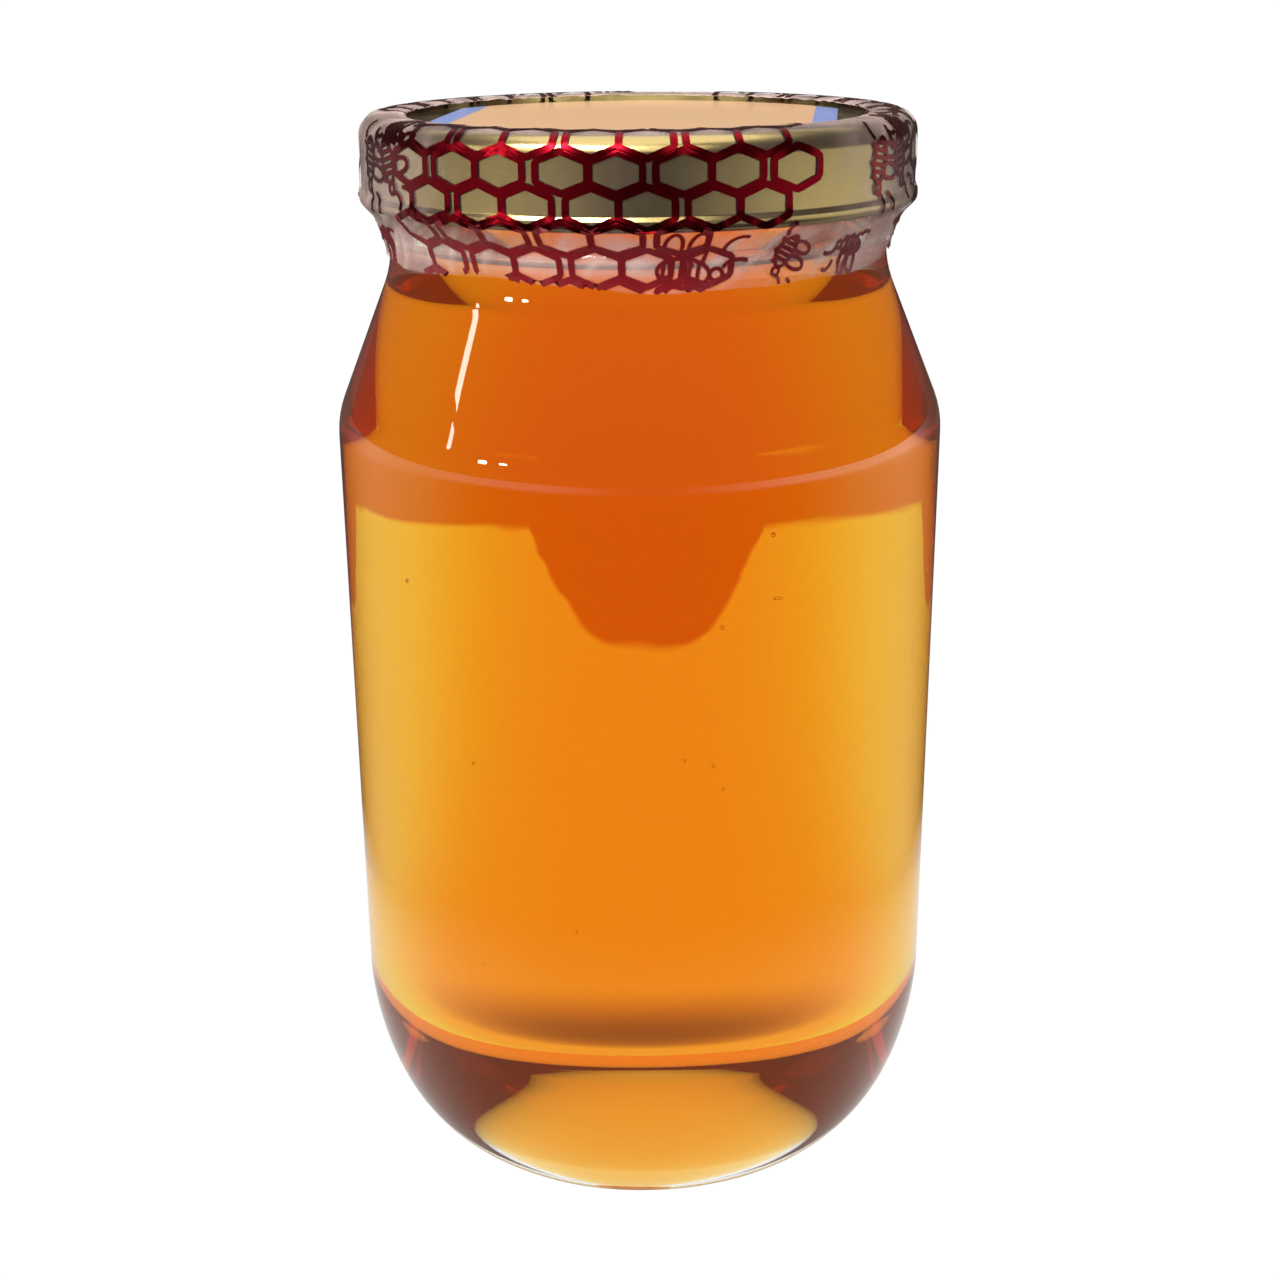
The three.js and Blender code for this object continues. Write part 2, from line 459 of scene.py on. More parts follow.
def wet_inside(piece):
    """Gives the wetted material to the glass's inner faces below the honey's surface."""
    piece.data.materials.append(wet_glass_material())
    for face in piece.data.polygons:
        inward = face.normal.z - face.normal.xy.dot(face.center.xy.normalized())
        if inward > 0 and face.center.z < sizes().honey_level:
            face.material_index = 1


def honey_material():
    """Clear runny honey: amber in depth, pale yellow where it is thin."""
    # Index against the glass that it sits in: 1.49 over 1.52, near enough 1
    material, tree, shader, output = new_material("Clear blossom honey, poured", {
        "Transmission Weight": 1.0, "IOR": 1.0, "Roughness": 0.0})
    mottle(tree, shader, 30 * MM, linear("#fffaf0"), linear("#ffffff"))
    # Light lost per metre in red, green and blue is the density times (1 - colour)
    depth = add_node(tree, "ShaderNodeVolumeAbsorption", ((0.925, 0.72, 0.14, 1), 66.0))
    # Fine wax and pollen scatter a little light: a faint glow stands in for it
    glow = add_node(tree, "ShaderNodeEmission", ((1, 0.4, 0.08, 1), 1.1))
    both = add_node(tree, "ShaderNodeAddShader", (depth, glow))
    tree.links.new(both, output.inputs["Volume"])
    return material


def gold_material():
    """Tinplate with gold lacquer, pressed: warm grey gold, bright highlights, faint orange peel."""
    material, tree, shader, _ = new_material("Gold-lacquered tinplate, pressed", {"Metallic": 1.0})
    base = colours().gold
    where = mottle(tree, shader, 9 * MM, times(base, 0.93), base, (0.17, 0.26), 3.0)[0]
    peel = add_node(tree, NOISE, {"Vector": where, "Scale": 1 / (1.4 * MM), "Detail": 1.0})
    roughen(tree, shader, peel, 0.05)
    return material


def film_material():
    """Clear PVC shrink film: all but unseen where it is stretched, milky where it is creased."""
    material, tree, shader, _ = new_material("PVC shrink film, heat-shrunk", {"IOR": 1.53})
    # The film's milkiness, which also holds painted sheen and painted highlights
    haze_and_sheen = add_node(tree, "ShaderNodeAttribute", out="Fac", attribute_name="haze_and_sheen")
    base = colours().film
    cloud = mottle(tree, shader, 5 * MM, times(base, 0.8), base, (0.12, 0.3), 4.0)[1]
    uneven = add_node(tree, RANGE, (cloud, 0.3, 0.7, 0.7, 1.2))
    alpha = add_node(tree, MATH, (haze_and_sheen, uneven), operation="MULTIPLY", use_clamp=True)
    tree.links.new(alpha, shader.inputs["Alpha"])
    return material


def ink_on_metal_material():
    """Translucent red ink over gold: near black in shade, bright red where the metal shines."""
    return ink_material("Translucent red ink over gold, gravure-printed", {"Metallic": 1.0}, 1.0)


def ink_on_film_material():
    """The same ink over clear film and glass: softer red that lets some light through."""
    return ink_material("Translucent red ink on film, gravure-printed", {"Alpha": 0.88}, 1.15)


def ink_material(name, values, gain):
    """Red ink whose dots never lie quite evenly, glossy where it is thick."""
    material, tree, shader, _ = new_material(name, values)
    base = colours().ink
    mottle(tree, shader, 2.5 * MM, times(base, gain * 0.8), times(base, gain), (0.2, 0.32))
    return material


LABEL_WIDTH = 61 * MM
LABEL_TURN = math.radians(-6)
LABEL_BAND = 3.6 * MM


def label_material():
    """Coated paper, printed: peach field with a pale blue band down each side, soft gloss."""
    material, tree, shader, _ = new_material("Coated label paper, offset-printed", {
        "Coat Weight": 0.6, "Coat Roughness": 0.12})
    base = colours().label
    where, fibre, peach = mottle(tree, shader, 1.2 * MM, times(base, 0.95), base, (0.38, 0.52), 4.0)
    turned = add_node(tree, "ShaderNodeMapping", {"Vector": where, "Rotation": (0, 0, -LABEL_TURN)})
    across = add_node(tree, "ShaderNodeSeparateXYZ", (turned,), "X")
    aside = add_node(tree, MATH, (across,), operation="ABSOLUTE")
    band = add_node(tree, MATH, (aside, LABEL_WIDTH / 2 - LABEL_BAND), operation="GREATER_THAN")
    field = add_node(tree, MIX, {0: band, 6: peach, 7: (*colours().label_edge, 1)}, 2,
                     data_type="RGBA")
    tree.links.new(field, shader.inputs["Base Color"])
    roughen(tree, shader, fibre, 0.06)
    return material


def bubble_material():
    """Air in honey: the surface seen from inside the honey, so the index is below 1."""
    material, tree, shader, _ = new_material("Air bubble, trapped", {
        "Transmission Weight": 1.0, "IOR": 0.85, "Roughness": 0.02})
    mottle(tree, shader, 20 * MM, linear("#fff4dc"), linear("#ffffff"))
    return material


# Shrink band: a surface over angle round the jar and distance along its section


class BandShape:
    """The band's surface. Distance runs down the section from the edge on the crest."""

    THICKNESS = 0.08 * MM

    def __init__(self):
        skirt = sizes().cap_radius + 0.1 * MM
        crest = sizes().cap_crest + 0.1 * MM
        neck = sizes().neck_radius
        self.path = rounded_profile([
            (35.3 * MM, crest - 0.35 * MM),
            (37.0 * MM, crest, 1.5 * MM),
            (38.8 * MM, crest, 2 * MM),
            (skirt, crest - 0.2 * MM, 3.1 * MM),
            (skirt, 160.7 * MM, 0.5 * MM),
            (skirt + BEAD, 160.1 * MM, 0.3 * MM),
            (skirt + BEAD, SKIRT_FOOT - 0.5 * MM, 1.1 * MM),
            (neck + 1.7 * MM, 156.1 * MM, 3 * MM),
            (neck + 0.22 * MM, 151.8 * MM, 5 * MM),
            (neck + 0.5 * MM, 148.2 * MM),
        ])
        self.lengths = [0.0]
        for before, after in zip(self.path, self.path[1:]):
            self.lengths.append(self.lengths[-1] + (after - before).length)
        self.total = self.lengths[-1]
        self.cap_end = self.distance_at(SKIRT_FOOT - 0.5 * MM)
        self.neck_start = self.distance_at(157.5 * MM)

    def distance_at(self, height):
        """Distance along the section where it comes down through a height on the outer side."""
        for index in range(len(self.path) - 1, 0, -1):
            low, high = self.path[index], self.path[index - 1]
            if low.y <= height <= high.y:
                share = (high.y - height) / (high.y - low.y)
                return self.lengths[index - 1] + share * (self.lengths[index] - self.lengths[index - 1])
        raise ValueError("the band doesn't reach that height")

    def section(self, distance):
        """Point and outward normal of the smooth section at a distance."""
        distance = max(0.0, min(self.total, distance))
        index = 1
        while index < len(self.lengths) - 1 and self.lengths[index] < distance:
            index += 1
        start, end = self.path[index - 1], self.path[index]
        share = (distance - self.lengths[index - 1]) / (self.lengths[index] - self.lengths[index - 1])
        along = (end - start).normalized()
        return start.lerp(end, share), Vector((-along.y, along.x))

    def end(self, angle):
        """Where the lower edge lies: it waves by a millimetre or so."""
        wave = 0.55 * math.sin(3 * angle + 0.6) + 0.35 * math.sin(7 * angle + 2.1)
        wave += 0.9 * noise.noise(Vector((math.cos(angle), math.sin(angle), 0.3)) * 4)
        return self.total + (wave - 2.3) * MM

    def crease(self, angle, distance):
        """How far folds lift the film: on the neck, and at the edge on the crest."""
        neck = smooth(self.neck_start, self.neck_start + 2.5 * MM, distance)
        collar = 1 - smooth(0.2 * MM, 2.4 * MM, distance)
        fold = self.folds(angle, distance, 3.8 * MM, 10 * MM)
        ridge = max(0, 1 - 5 * abs(self.folds(angle, distance, 5.5 * MM, 14 * MM, 7)))
        lift = neck * (0.2 * max(0, fold) + (0.12 + 0.2 * self.aside(angle)) * ridge)
        pucker = noise.noise(Vector((angle * 36 * MM / (1.7 * MM), 3.3, distance / (4 * MM))))
        lift += collar * 0.3 * pucker
        return max(lift, -0.05) * MM

    def folds(self, angle, distance, across, along, start=0):
        """Noise of two sizes, on a slanting circle so that it runs askew and closes round the jar."""
        turn = angle + distance * 0.7 / (40 * MM)
        drawn = Vector((math.cos(turn), math.sin(turn))) * 40 * MM
        return noise.noise(Vector((*drawn / across, distance / along + start)))

    def aside(self, angle):
        """1 at the jar's left and right sides and 0 at its front and back: where the film gets painted
        sheen and higher ridges.
        """
        return smooth(0.6, 0.94, abs(math.sin(angle)))

    def point(self, angle, distance, lift=0.0):
        at, normal = self.section(distance)
        at = at + normal * (self.crease(angle, distance) + lift)
        return Vector((at.x * math.sin(angle), -at.x * math.cos(angle), at.y))

    def haze_and_sheen(self, angle, distance):
        """How milky the film is: clear on the skirt, milky on the collar and the neck, with painted
        sheen at the jar's left and right sides and two bands of painted highlight round the neck.
        """
        collar = 1 - smooth(3.6 * MM, 6.4 * MM, distance)
        neck = smooth(self.cap_end - 0.3 * MM, self.neck_start + 0.8 * MM, distance)
        low = smooth(self.end(angle) - 4.5 * MM, self.end(angle) - 0.6 * MM, distance)
        patch = 0.5 + 0.5 * self.folds(angle, distance, 9 * MM, 4 * MM)
        fold = max(0, 1 - 4 * abs(self.folds(angle, distance, 5.5 * MM, 14 * MM, 7)))
        aside = self.aside(angle)
        # Two pale bands round the neck: painted highlights
        bands = 0
        for share in (0.4, 0.55):
            middle = self.neck_start + share * (self.total - self.neck_start)
            bands += math.exp(-((distance - middle) / (0.55 * MM)) ** 2)
        # The aside terms make the film milkier at the jar's left and right sides: painted sheen
        skirt = (1 - neck) * aside * (0.1 + 0.45 * patch + 0.3 * fold)
        below = neck * (0.16 + 0.34 * aside + 0.3 * fold + 0.22 * bands) * (0.5 + 0.9 * patch)
        return 0.02 + 0.75 * collar * patch + 0.5 * skirt + below * (1 - 0.65 * low)


def smooth(low, high, value):
    """Eases from 0 to 1 as a value goes from low to high."""
    share = max(0.0, min(1.0, (value - low) / (high - low)))
    return share * share * (3 - 2 * share)


BAND_COLUMNS = 480
BAND_ROWS = 64


def band_mesh(shape):
    """Closed thin shell: outer skin, inner skin and the two edges that join them."""
    verts = []
    haze_and_sheen = []
    for lift in (shape.THICKNESS / 2, -shape.THICKNESS / 2):
        for row in range(BAND_ROWS + 1):
            for column in range(BAND_COLUMNS):
                angle = math.tau * column / BAND_COLUMNS
                distance = shape.end(angle) * row / BAND_ROWS
                verts.append(shape.point(angle, distance, lift))
                haze_and_sheen.append(shape.haze_and_sheen(angle, distance))
    faces = []
    skin = (BAND_ROWS + 1) * BAND_COLUMNS
    for row in range(BAND_ROWS):
        for column in range(BAND_COLUMNS):
            a = row * BAND_COLUMNS + column
            b = row * BAND_COLUMNS + (column + 1) % BAND_COLUMNS
            c, d = b + BAND_COLUMNS, a + BAND_COLUMNS
            faces.append((a, d, c, b))
            faces.append((a + skin, b + skin, c + skin, d + skin))
    for row in (0, BAND_ROWS):
        for column in range(BAND_COLUMNS):
            a = row * BAND_COLUMNS + column
            b = row * BAND_COLUMNS + (column + 1) % BAND_COLUMNS
            quad = (a, b, b + skin, a + skin)
            faces.append(quad if row == 0 else quad[::-1])
    mesh = bpy.data.meshes.new("Shrink band")
    mesh.from_pydata(verts, [], faces)
    # Milkiness of the film, with its painted sheen and painted highlights
    attribute = mesh.attributes.new("haze_and_sheen", "FLOAT", "POINT")
    attribute.data.foreach_set("value", haze_and_sheen)
    return mesh


# Print on the band, laid out flat and then wrapped on: x is distance round the skirt, y is down


def honeycomb_tree():
    """Node tree: rings of ink on a grid of cells, in clusters that repeat round the jar."""
    tree, given = new_tree("Honeycomb print", (
        "Columns:Int Rows:Int Column_step:Float Row_step:Float Cell_width:Float Cell_height:Float "
        "Line_width:Float Ink_thickness:Float Pair_shift:Float Cluster_start:Float Cluster_width:Float "
        "Neck_cluster_width:Float Cluster_repeat:Float Seed:Int Material:Material"))
    grid = add_node(tree, "GeometryNodeMeshGrid", {
        "Size X": 1.0, "Size Y": 1.0, "Vertices X": given["Columns"], "Vertices Y": given["Rows"]})
    index = add_node(tree, "GeometryNodeInputIndex")

    # The grid counts its points down each column
    middle = add_node(tree, MATH, (index, 0.5), operation="ADD")
    share = add_node(tree, MATH, (middle, given["Rows"]), operation="DIVIDE")
    column = add_node(tree, MATH, (share,), operation="FLOOR")
    passed = add_node(tree, MATH, (column, given["Rows"]), operation="MULTIPLY")
    row = add_node(tree, MATH, (index, passed), operation="SUBTRACT")

    # Every other row moves on by half a cell, and the columns stand in pairs
    odd_row = add_node(tree, MATH, (row, 2.0), operation="MODULO")
    half = add_node(tree, MATH, (odd_row, 0.5), operation="MULTIPLY")
    moved = add_node(tree, MATH, (column, half), operation="ADD")
    across = add_node(tree, MATH, (moved, given["Column step"]), operation="MULTIPLY")
    odd_column = add_node(tree, MATH, (column, 2.0), operation="MODULO")
    twice = add_node(tree, MATH, (odd_column, 2.0), operation="MULTIPLY")
    side = add_node(tree, MATH, (twice, 1.0), operation="SUBTRACT")
    shift = add_node(tree, MATH, (side, given["Pair shift"]), operation="MULTIPLY")
    placed = add_node(tree, MATH, (across, shift), operation="ADD")
    down = add_node(tree, MATH, (row, given["Row step"]), operation="MULTIPLY")
    spot = add_node(tree, "ShaderNodeCombineXYZ", (placed, down))
    points = add_node(tree, "GeometryNodeSetPosition", {"Geometry": grid, "Position": spot})

    # Cells stay where their place in the repeat falls inside the cluster, less a ragged edge
    begun = add_node(tree, MATH, (across, given["Cluster start"]), operation="SUBTRACT")
    phase = add_node(tree, MATH, (begun, given["Cluster repeat"]), operation="FLOORED_MODULO")
    ragged = add_node(tree, RANDOM, {2: 0.0, 3: RAGGED_EDGE, "Seed": given["Seed"]}, 1,
                      data_type="FLOAT")
    on_neck = add_node(tree, MATH, (row, LAST_CAP_ROW + 0.5), operation="GREATER_THAN")
    width = add_node(tree, MIX, {0: on_neck, 2: given["Cluster width"],
                                 3: given["Neck cluster width"]}, data_type="FLOAT")
    reach = add_node(tree, MATH, (phase, ragged), operation="ADD")
    kept = add_node(tree, MATH, (reach, width), operation="LESS_THAN")

    # A hexagon of radius 1 is sqrt(3) wide and 2 high
    ring = add_node(tree, "GeometryNodeCurvePrimitiveCircle", {"Resolution": 6, "Radius": 1.0},
                    mode="RADIUS")
    upright = add_node(tree, "GeometryNodeTransform",
                       {"Geometry": ring, "Rotation": (0, 0, math.radians(30))})
    wide = add_node(tree, MATH, (given["Cell width"], math.sqrt(3)), operation="DIVIDE")
    high = add_node(tree, MATH, (given["Cell height"], 2.0), operation="DIVIDE")
    stretch = add_node(tree, "ShaderNodeCombineXYZ", (wide, high, 1.0))
    cell = add_node(tree, "GeometryNodeTransform", {"Geometry": upright, "Scale": stretch})
    eased = add_node(tree, "GeometryNodeFilletCurve", {"Curve": cell, "Count": 3, "Radius": 0.5 * MM},
                     mode="POLY")
    inked = draw_ink(tree, eased, 0.6 * MM, given)

    next_seed = add_node(tree, MATH, (given["Seed"], 1.0), operation="ADD")
    size = add_node(tree, RANDOM, {2: 0.97, 3: 1.04, "Seed": next_seed}, 1, data_type="FLOAT")
    cells = add_node(tree, "GeometryNodeInstanceOnPoints", {
        "Points": points, "Selection": kept, "Instance": inked, "Scale": size})
    finish_tree(tree, cells, given["Material"])
    return tree


def draw_ink(tree, lines, step, given, capped=False):
    """Sweeps the ink's flat section along curves, with a point at every step."""
    fine = add_node(tree, "GeometryNodeResampleCurve", {"Curve": lines, "Length": step},
                    mode="LENGTH")
    section = add_node(tree, "GeometryNodeCurvePrimitiveQuadrilateral",
                       {"Width": given["Line width"], "Height": given["Ink thickness"]},
                       mode="RECTANGLE")
    return add_node(tree, "GeometryNodeCurveToMesh",
                    {"Curve": fine, "Profile Curve": section, "Fill Caps": capped})


def stroke_tree():
    """Node tree: draws its edges as strokes of ink and sets a copy at each point of an object."""
    tree, given = new_tree(
        "Bee print", "Strokes:Object Line_width:Float Ink_thickness:Float Material:Material")
    drawn = add_node(tree, "GeometryNodeObjectInfo", {"Object": given["Strokes"]}, "Geometry")
    turn = add_node(tree, ATTRIBUTE, {"Name": "turn"}, data_type="FLOAT_VECTOR")
    size = add_node(tree, ATTRIBUTE, {"Name": "size"}, data_type="FLOAT")
    placed = add_node(tree, "GeometryNodeInstanceOnPoints", {
        "Points": given["Geometry"], "Instance": drawn, "Rotation": turn, "Scale": size})
    edges = add_node(tree, "GeometryNodeRealizeInstances", {"Geometry": placed})
    lines = add_node(tree, "GeometryNodeMeshToCurve", {"Mesh": edges})
    finish_tree(tree, draw_ink(tree, lines, 0.4 * MM, given, True), given["Material"])
    return tree


def arc(centre, radii, start, end, steps=16):
    """Points of part of an ellipse, in degrees."""
    points = []
    for step in range(steps + 1):
        angle = math.radians(start + (end - start) * step / steps)
        points.append((centre[0] + radii[0] * math.cos(angle),
                       centre[1] + radii[1] * math.sin(angle), 0))
    return points


def bee_strokes():
    """A small bee in a few strokes: striped body, head, two wings, feelers and legs."""
    body = (2.3, 1.25)
    strokes = [
        arc((0, 0), body, 0, 360),
        arc((2.9, -0.1), (0.6, 0.55), 0, 360, 12),
        arc((0.9, -2.3), (0.8, 1.7), 100, 430),
        arc((-1.2, -2.2), (0.75, 1.5), 75, 405),
        arc((4.6, -1.9), (1.5, 1.9), 190, 285, 8),
        arc((5.0, -0.6), (1.6, 0.9), 185, 290, 8),
        arc((-3.2, 1.0), (1.3, 1.3), 20, 130, 8),
        arc((-0.4, 2.4), (1.2, 1.3), 200, 290, 8),
        arc((1.5, 2.2), (1.2, 1.2), 200, 300, 8),
    ]
    for x in (-1.75, -1.0, -0.25, 0.5, 1.25):
        reach = body[1] * math.sqrt(1 - (x / body[0]) ** 2)
        strokes.append([(x, -reach, 0), (x, reach, 0)])
    return strokes


# Bees in one repeat of the print: angle round the jar and height in degrees and mm, turn and size
BEES = (
    (9, 152.6, 6, 1.75),
    (31, 155.0, 115, 1.15),
    (63, 166.4, 75, 1.35),
    (50, 154.4, 190, 1.1),
    (-66, 166.2, 100, 1.35),
    (-56, 170.6, 20, 1.1),
)
INK_LIFT = 0.14 * MM
INK_THICKNESS = 0.04 * MM


def wrap(piece, shape):
    """Wraps a flat print onto the band: x by angle, y by distance, z as lift off the film."""
    around = sizes().cap_radius
    for vertex in piece.data.vertices:
        angle = vertex.co.x / around
        distance = vertex.co.y
        vertex.co = shape.point(angle, distance, vertex.co.z + INK_LIFT)


def trim_print(piece, shape, keep_cap):
    """Cuts a flat print at the cap's lower edge and at the band's own edges."""
    shell = bmesh.new()
    shell.from_mesh(piece.data)
    around = sizes().cap_radius
    limit = shape.cap_end
    gone = []
    for face in shell.faces:
        middle = face.calc_center_median()
        last = shape.end(middle.x / around) - 0.25 * MM
        on_cap = middle.y < limit
        if on_cap != keep_cap or middle.y < 0.15 * MM or middle.y > last:
            gone.append(face)
    bmesh.ops.delete(shell, geom=gone, context="FACES")
    holes = [edge for edge in shell.edges if edge.is_boundary]
    bmesh.ops.holes_fill(shell, edges=holes, sides=0)
    bmesh.ops.recalc_face_normals(shell, faces=shell.faces)
    shell.to_mesh(piece.data)
    shell.free()


# Operators


def dress(piece, material_slot, *replaced):
    """Puts a piece on the jar's one body and hides the solid that it stands for. Its finish,
    material_slot, is not used.
    """
    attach(piece, "root")
    if replaced:
        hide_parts(*replaced)


class JAR_OT_glass(bpy.types.Operator):
    """Makes the glass jar"""

    bl_idname = "honey_jar.glass"
    bl_label = "Glass jar"

    def execute(self, context):
        piece = revolve("Glass", glass_profile(), glass_material())
        ripple(piece)
        wet_inside(piece)
        dress(piece, "clear_glass", "glass_jar")
        return {"FINISHED"}


class JAR_OT_honey(bpy.types.Operator):
    """Makes the honey and its bubbles"""

    bl_idname = "honey_jar.honey"
    bl_label = "Honey"

    def execute(self, context):
        piece = revolve("Honey_fill", honey_profile(), honey_material())
        ripple(piece)
        dress(piece, "amber_honey", "honey")
        if sizes().bubbles:
            make_bubbles()
        return {"FINISHED"}


def bubble_tree():
    """Node tree: small spheres round the jar, each at its own height and of its own size."""
    tree, given = new_tree("Bubbles", (
        "Radius:Float Count:Int Reach:Float Lowest:Float Highest:Float Seed:Int Material:Material"))
    angle = add_node(tree, RANDOM, {3: math.tau, "Seed": given["Seed"]}, 1, data_type="FLOAT")
    index = add_node(tree, "GeometryNodeInputIndex")
    height = add_node(tree, RANDOM, {2: given["Lowest"], 3: given["Highest"], "ID": index}, 1,
                      data_type="FLOAT")
    ahead = add_node(tree, "ShaderNodeCombineXYZ", {0: given["Reach"], 2: height})
    place = add_node(tree, "ShaderNodeVectorRotate", {"Vector": ahead, "Angle": angle},
                     rotation_type="Z_AXIS")
    points = add_node(tree, "GeometryNodePoints", {"Count": given["Count"], "Position": place})
    ball = add_node(tree, "GeometryNodeMeshIcoSphere", {"Radius": given["Radius"], "Subdivisions": 3})
    size = add_node(tree, RANDOM, {2: 0.4, 3: 1.0}, 1, data_type="FLOAT")
    balls = add_node(tree, "GeometryNodeInstanceOnPoints",
                     {"Points": points, "Instance": ball, "Scale": size})
    finish_tree(tree, balls, given["Material"])
    return tree


def make_bubbles():
    """Small bubbles that hang just inside the glass."""
    values = {
        "Radius": 0.36 * MM, "Count": sizes().bubbles, "Seed": 11,
        "Reach": sizes().body_radius - sizes().wall - 1.6 * MM,
        "Lowest": 30 * MM, "Highest": 118 * MM, "Material": bubble_material(),
    }
    piece = run_tree("Bubbles", bpy.data.meshes.new("Bubbles"), bubble_tree(), values)
    piece.data.shade_smooth()
    dress(piece, "amber_honey")


class JAR_OT_cap(bpy.types.Operator):
    """Makes the gold cap"""

    bl_idname = "honey_jar.cap"
    bl_label = "Cap"

    def execute(self, context):
        piece = revolve("Gold_cap", cap_profile(), gold_material())
        dress(piece, "gold_tinplate", "cap")
        return {"FINISHED"}


class JAR_OT_label(bpy.types.Operator):
    """Makes the paper label in the cap's recess"""

    bl_idname = "honey_jar.label"
    bl_label = "Label"

    def execute(self, context):
        piece = make_label()
        dress(piece, "label_paper", "top_label")
        return {"FINISHED"}


def make_label():
    """A round label cut straight at both sides, thin, with an eased upper edge."""
    radius = 34.8 * MM
    half = LABEL_WIDTH / 2
    side = math.acos(half / radius)
    steps = 40
    outline = []
    for middle in (math.pi / 2, 3 * math.pi / 2):
        first = middle - (math.pi / 2 - side)
        for step in range(steps + 1):
            angle = first + (math.pi - 2 * side) * step / steps
            outline.append((radius * math.cos(angle), radius * math.sin(angle)))
    base = sizes().cap_crest - PANEL_DEPTH + 0.03 * MM
    thickness = 0.16 * MM
    turn = Matrix.Rotation(LABEL_TURN, 4, "Z")
    shell = bmesh.new()
    verts = [shell.verts.new(turn @ Vector((x, y, base))) for x, y in outline]
    face = shell.faces.new(verts)
    lifted = bmesh.ops.extrude_face_region(shell, geom=[face])
    top = [v for v in lifted["geom"] if isinstance(v, bmesh.types.BMVert)]
    bmesh.ops.translate(shell, vec=(0, 0, thickness), verts=top)
    rim = [e for e in shell.edges if all(v in top for v in e.verts)]
    bmesh.ops.bevel(shell, geom=rim, offset=0.05 * MM, segments=2, affect="EDGES")
    bmesh.ops.recalc_face_normals(shell, faces=shell.faces)
    mesh = bpy.data.meshes.new("Top label")
    shell.to_mesh(mesh)
    shell.free()
    mesh.materials.append(label_material())
    return add_object("Top_label", mesh)


class JAR_OT_band(bpy.types.Operator):
    """Makes the shrink band and its print"""

    bl_idname = "honey_jar.band"
    bl_label = "Shrink band"

    def execute(self, context):
        shape = BandShape()
        mesh = band_mesh(shape)
        mesh.materials.append(film_material())
        piece = add_object("Shrink_band", mesh)
        mesh.shade_smooth()
        dress(piece, "printed_film", "seal_band")
        make_print(shape)
        return {"FINISHED"}


def honeycomb_values(material):
    """Sizes of the honeycomb, laid out flat at the skirt's own radius."""
    around = sizes().cap_radius
    return {
        "Columns": CELLS_ROUND, "Rows": 7, "Column step": CELL_STEP * around, "Row step": ROW_STEP,
        "Cell width": sizes().cell_width, "Cell height": sizes().cell_height,
        "Line width": sizes().cell_line, "Ink thickness": INK_THICKNESS, "Pair shift": 0.42 * MM,
        "Cluster start": 0.0, "Cluster width": math.radians(88) * around,
        "Neck cluster width": math.radians(66) * around,
        "Cluster repeat": PRINT_REPEAT * around, "Seed": 4, "Material": material,
    }


def make_print(shape):
    """Prints the band twice: red over gold on the cap, softer red on the clear neck."""
    around = sizes().cap_radius
    first_column = FIRST_COLUMN * around - CELL_STEP * around / 2
    first_row = shape.distance_at(LAST_CAP_ROW_HEIGHT) - LAST_CAP_ROW * ROW_STEP
    for on_cap, material in ((True, ink_on_metal_material()), (False, ink_on_film_material())):
        name = "Print_on_cap" if on_cap else "Print_on_neck"
        piece = run_tree(name, bpy.data.meshes.new(name), honeycomb_tree(),
                         honeycomb_values(material))
        piece.data.transform(Matrix.Translation((first_column, first_row, 0)))
        join(piece, bee_print(shape, material))
        piece.data.materials.clear()
        piece.data.materials.append(material)
        trim_print(piece, shape, on_cap)
        wrap(piece, shape)
        face_outwards(piece)
        dress(piece, "printed_film")


def bee_print(shape, material):
    """Bees, laid out flat at their places in all three repeats of the print."""
    around = sizes().cap_radius
    spots = []
    turns = []
    scales = []
    for repeat in range(3):
        for angle, height, turn, size in BEES:
            spots.append(((math.radians(angle) + repeat * PRINT_REPEAT) * around,
                          shape.distance_at(height * MM), 0))
            turns += [0, 0, math.radians(turn)]
            scales.append(size * MM)
    points = bpy.data.meshes.new("Bee places")
    points.from_pydata(spots, [], [])
    attribute = points.attributes.new("turn", "FLOAT_VECTOR", "POINT")
    attribute.data.foreach_set("vector", turns)
    points.attributes.new("size", "FLOAT", "POINT").data.foreach_set("value", scales)
    strokes = add_object("Bee strokes", edge_mesh("Bee strokes", *bee_strokes()))
    values = {"Strokes": strokes, "Line width": 0.62 * MM, "Ink thickness": INK_THICKNESS,
              "Material": material}
    piece = run_tree("Bees", points, stroke_tree(), values)
    bpy.data.objects.remove(strokes)
    return piece


def join(piece, other):
    """Adds another object's mesh to a piece and removes that object."""
    both = bmesh.new()
    both.from_mesh(piece.data)
    both.from_mesh(other.data)
    for face in both.faces:
        face.material_index = 0
    both.to_mesh(piece.data)
    both.free()
    bpy.data.objects.remove(other)


# Stage


class JAR_OT_stage(bpy.types.Operator):
    """Makes the floor, the lights and the camera"""

    bl_idname = "honey_jar.stage"
    bl_label = "Stage"

    def execute(self, context):
        make_floor()
        make_cards()
        make_lights()
        light_cap()
        make_camera()
        set_look(context.scene)
        return {"FINISHED"}

UNLIT = {"Base Color": (0, 0, 0, 1), "Specular IOR Level": 0.0}
TABLE_REACH = 4.0
SHADOW_EDGE = (68 * MM, 87 * MM)
DISC_STEPS = 64
PANE_WATTS = 48
CREAM = (1, 0.93, 0.8)


def glowing_material(name, colour, glow=1.0):
    """Evenly lit board or paper: it only glows, so the jar throws no shadow on it."""
    material, tree, shader, _ = new_material(name, {**UNLIT, "Emission Strength": glow})
    mottle(tree, shader, 1 / 3, times(colour, 0.99), colour, socket="Emission Color")
    return material


